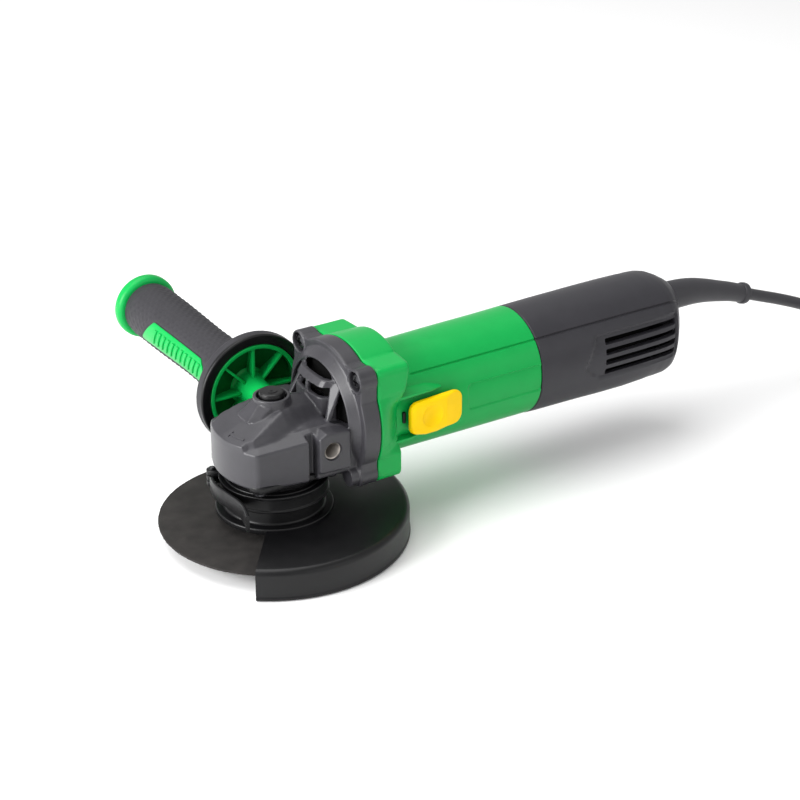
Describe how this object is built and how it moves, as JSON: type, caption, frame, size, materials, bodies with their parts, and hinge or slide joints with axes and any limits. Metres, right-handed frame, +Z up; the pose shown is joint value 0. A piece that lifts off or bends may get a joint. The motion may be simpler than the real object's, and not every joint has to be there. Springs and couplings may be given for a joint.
{
  "type": "angle grinder",
  "caption": "Small corded angle grinder with a cast gear head, quarter guard, thin cutting disc, slide switch, screw-in side handle and mains lead.",
  "frame": {"origin": "on the floor under the middle of the tool without its free cord: centre of the bounding box in X and Y, lowest point of the guard in Z", "axes": "+X back along the motor towards the cord boot, +Y out along the side handle, +Z up along the spindle, away from the disc"},
  "size_m": [0.5715, 0.2939, 0.1024],
  "materials": {
    "cast_metal": "satin die-cast, grey paint",
    "green_plastic": "smooth satin",
    "grey_plastic": "fine grained",
    "yellow_plastic": "smooth",
    "black_steel": "satin black",
    "steel": "machined",
    "abrasive": "resin-bonded grit",
    "soft_grip": "fine grained",
    "cord_rubber": "matt",
    "copper": "enamelled wire",
    "brass": "plain",
    "carbon": "dry",
    "laminated_steel": "stacked sheet"
  },
  "bodies": {
    "tool_body": {"gear_housing": "cast_metal", "bearing_cover": "cast_metal", "motor_housing": "green_plastic", "rear_cover": "grey_plastic", "rear_cover_screw": "steel", "air_baffle": "grey_plastic", "stator_core": "laminated_steel", "field_coil_upper": "copper", "field_coil_lower": "copper", "brush_holder_upper": "brass", "brush_holder_lower": "brass", "brush_spring_upper": "steel", "brush_spring_lower": "steel", "switch_body": "grey_plastic", "front_bearing_outer": "steel", "rear_bearing_outer": "steel", "spindle_bearing_outer": "steel", "upper_bushing": "brass", "thread_insert_left": "steel", "thread_insert_right": "steel", "housing_screw_1": "steel", "housing_screw_2": "steel", "housing_screw_3": "steel", "housing_screw_4": "steel", "lock_spring": "steel", "cord_boot": "cord_rubber", "cord_inner_end": "cord_rubber", "cord_clamp": "grey_plastic", "mains_cord": "cord_rubber", "cord_coil": "cord_rubber", "cord_end": "cord_rubber", "mains_plug": "cord_rubber"},
    "spindle_set": {"spindle": "steel", "ring_gear": "steel", "inner_flange": "steel", "cutting_disc": "abrasive", "lock_nut": "steel", "spindle_bearing_inner": "steel"},
    "armature": {"armature_shaft": "steel", "pinion": "steel", "armature_core": "laminated_steel", "front_winding": "copper", "rear_winding": "copper", "commutator": "copper", "cooling_fan": "grey_plastic", "front_bearing_inner": "steel", "rear_bearing_inner": "steel"},
    "spindle_lock": {"spindle_lock_button": "black_steel", "lock_pin": "steel"},
    "switch": {"switch_slider": "yellow_plastic", "switch_link": "grey_plastic"},
    "guard": {"wheel_guard": "black_steel", "guard_clamp_band": "black_steel", "lever_pin": "steel"},
    "guard_lever": {"clamp_lever": "black_steel"},
    "stud": {"handle_stud": "steel"},
    "side_handle": {"handle_core": "green_plastic", "handle_grip": "soft_grip"},
    "upper_brush": {"carbon_brush_upper": "carbon"},
    "lower_brush": {"carbon_brush_lower": "carbon"}
  },
  "joints": [
    {"name": "spindle_spin", "type": "hinge", "parent": "tool_body", "child": "spindle_set", "pos_m": [-0.13104, -0.05875, 0.0632], "axis": [0, 0, 1], "continuous": true},
    {"name": "armature_spin", "type": "hinge", "parent": "tool_body", "child": "armature", "pos_m": [-0.13104, -0.05875, 0.0632], "axis": [1, 0, 0], "continuous": true},
    {"name": "spindle_lock_press", "type": "slide", "parent": "tool_body", "child": "spindle_lock", "axis": [0, 0, -1], "range_m": [0, 0.0045], "stiffness_N_per_m": 400, "springref_m": -0.004, "deforming": ["lock_spring"]},
    {"name": "switch_slide", "type": "slide", "parent": "tool_body", "child": "switch", "axis": [-1, 0, 0], "range_m": [0, 0.0045]},
    {"name": "guard_turn", "type": "hinge", "parent": "tool_body", "child": "guard", "pos_m": [-0.13104, -0.05875, 0.0632], "axis": [0, 0, 1], "range_deg": [-60, 80]},
    {"name": "guard_lever_open", "type": "hinge", "parent": "guard", "child": "guard_lever", "pos_m": [-0.15704, -0.03843, 0.0309], "axis": [0, 0, -1], "range_deg": [0, 60]},
    {"name": "handle_travel", "type": "slide", "parent": "tool_body", "child": "stud", "axis": [0, 1, 0], "range_m": [0, 0.01]},
    {"name": "handle_turn", "type": "hinge", "parent": "stud", "child": "side_handle", "pos_m": [-0.11343, -0.05875, 0.0574], "axis": [0, 1, 0], "range_deg": [0, 2880]},
    {"name": "upper_brush_slide", "type": "slide", "parent": "tool_body", "child": "upper_brush", "axis": [0, 0, 1], "range_m": [0, 0.002], "stiffness_N_per_m": 300, "springref_m": -0.005, "deforming": ["brush_spring_upper"]},
    {"name": "lower_brush_slide", "type": "slide", "parent": "tool_body", "child": "lower_brush", "axis": [0, 0, -1], "range_m": [0, 0.002], "stiffness_N_per_m": 300, "springref_m": -0.005, "deforming": ["brush_spring_lower"]}
  ],
  "couplings": [
    {"joint": "armature_spin", "follows": "spindle_spin", "ratio": 3},
    {"joint": "handle_travel", "follows": "handle_turn", "m_per_rad": 0.0001989}
  ]
}
